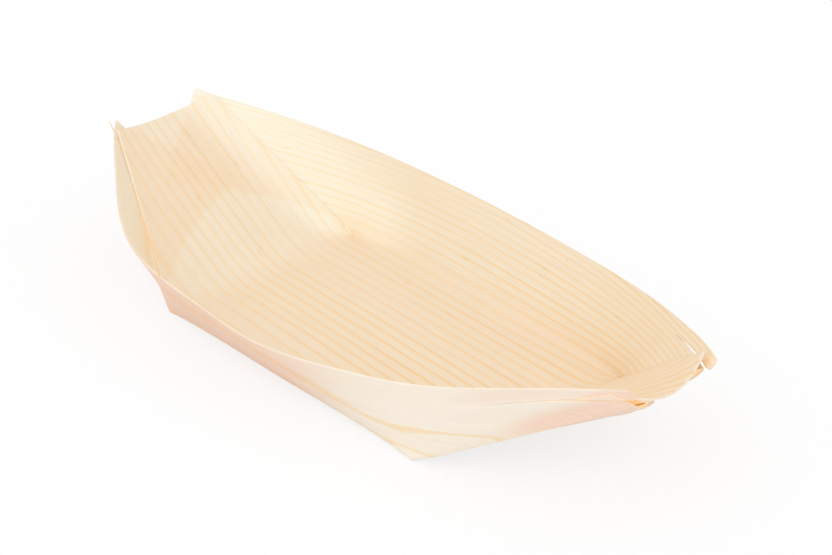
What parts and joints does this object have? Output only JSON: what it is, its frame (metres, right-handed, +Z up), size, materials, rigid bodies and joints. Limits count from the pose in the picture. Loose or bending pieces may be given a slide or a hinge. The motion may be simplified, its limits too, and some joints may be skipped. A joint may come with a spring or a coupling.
{
  "type": "wooden snack boat",
  "caption": "Boat-shaped disposable serving tray folded from thin pine veneer, with a flat floor, flared sides and tapering ends held by glued corner flaps.",
  "frame": {"origin": "middle of the floor's underside, on the surface that the boat stands on", "axes": "+X along the boat towards its right end, +Y towards the far side wall, +Z up"},
  "size_m": [0.1775, 0.0861, 0.0303],
  "materials": {
    "veneer": "bare planed pine veneer, pale, with fine orange growth rings along the boat",
    "glue": "hot-melt glue, pale amber"
  },
  "bodies": {
    "root": {"floor_panel": "veneer", "near_side_wall": "veneer", "far_side_wall": "veneer", "left_end_panel": "veneer", "right_end_panel": "veneer", "near_left_flap": "veneer", "far_left_flap": "veneer", "near_right_flap": "veneer", "far_right_flap": "veneer", "left_panel_glue": "glue", "left_flap_glue": "glue", "right_panel_glue": "glue", "right_flap_glue": "glue"}
  },
  "joints": []
}
